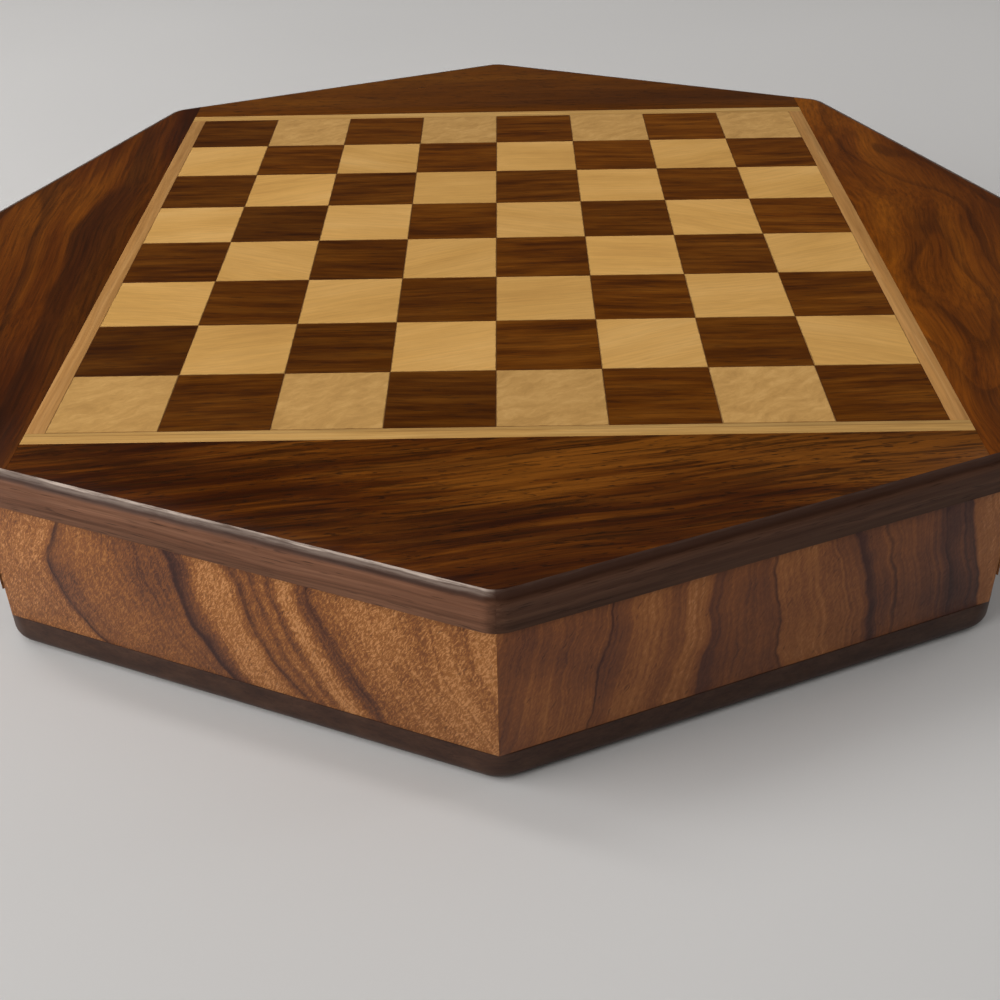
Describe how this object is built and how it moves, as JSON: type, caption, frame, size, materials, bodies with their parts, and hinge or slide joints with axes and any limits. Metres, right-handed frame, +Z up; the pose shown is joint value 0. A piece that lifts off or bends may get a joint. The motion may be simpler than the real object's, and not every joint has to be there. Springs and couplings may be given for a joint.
{
  "type": "chess box with drawers",
  "caption": "Low octagonal wooden chess box: inlaid board top inside a rounded dark rim, figured side walls, and pointed drawers that slide out to the left and the right.",
  "frame": {"origin": "centre of the underside, on the surface that the box stands on", "axes": "+Z up; +X from the left drawer to the right one, parallel to the board's edges; +Y away from the near side"},
  "size_m": [0.3468, 0.3244, 0.0503],
  "materials": {
    "dark_edge_wood": "dark stained hardwood, satin lacquer",
    "figured_rosewood": "figured sheesham, satin oil",
    "rosewood_veneer": "rosewood veneer, semi-gloss lacquer",
    "maple_inlay": "pale maple, semi-gloss lacquer",
    "walnut_inlay": "dark walnut, semi-gloss lacquer",
    "plain_hardwood": "planed, unfinished",
    "plywood": "sanded plywood",
    "felt": "green wool felt",
    "brass": "polished, slightly dulled",
    "steel": "zinc-plated"
  },
  "bodies": {
    "case": {"base_panel": "dark_edge_wood", "wall_near_left": "figured_rosewood", "wall_near_right": "figured_rosewood", "wall_far_right": "figured_rosewood", "wall_far_left": "figured_rosewood", "sill_left_near": "figured_rosewood", "sill_left_far": "figured_rosewood", "sill_right_near": "figured_rosewood", "sill_right_far": "figured_rosewood", "post_left_near": "plain_hardwood", "post_left_far": "plain_hardwood", "post_right_near": "plain_hardwood", "post_right_far": "plain_hardwood", "runner_near": "plain_hardwood", "runner_far": "plain_hardwood", "guide_near": "plain_hardwood", "guide_far": "plain_hardwood", "centre_partition": "plain_hardwood", "core_panel": "plywood", "rim_near_left": "dark_edge_wood", "rim_near_right": "dark_edge_wood", "rim_right_near": "dark_edge_wood", "rim_right_far": "dark_edge_wood", "rim_far_right": "dark_edge_wood", "rim_far_left": "dark_edge_wood", "rim_left_far": "dark_edge_wood", "rim_left_near": "dark_edge_wood", "field_near": "rosewood_veneer", "field_far": "rosewood_veneer", "field_left": "rosewood_veneer", "field_right": "rosewood_veneer", "border_near": "maple_inlay", "border_far": "maple_inlay", "border_left": "maple_inlay", "border_right": "maple_inlay", "light_squares": "maple_inlay", "dark_squares": "walnut_inlay"},
    "left_drawer": {"left_face_near": "figured_rosewood", "left_face_far": "figured_rosewood", "left_side_near": "plain_hardwood", "left_side_far": "plain_hardwood", "left_back": "plain_hardwood", "left_floor": "plywood", "left_lining": "felt", "left_nose_block": "plain_hardwood", "left_knob": "brass", "left_knob_screw": "steel"},
    "right_drawer": {"right_face_near": "figured_rosewood", "right_face_far": "figured_rosewood", "right_side_near": "plain_hardwood", "right_side_far": "plain_hardwood", "right_back": "plain_hardwood", "right_floor": "plywood", "right_lining": "felt", "right_nose_block": "plain_hardwood", "right_knob": "brass", "right_knob_screw": "steel"}
  },
  "joints": [
    {"name": "left_drawer_slide", "type": "slide", "parent": "case", "child": "left_drawer", "axis": [-1, 0, 0], "range_m": [0, 0.0854]},
    {"name": "right_drawer_slide", "type": "slide", "parent": "case", "child": "right_drawer", "axis": [1, 0, 0], "range_m": [0, 0.0854]}
  ]
}
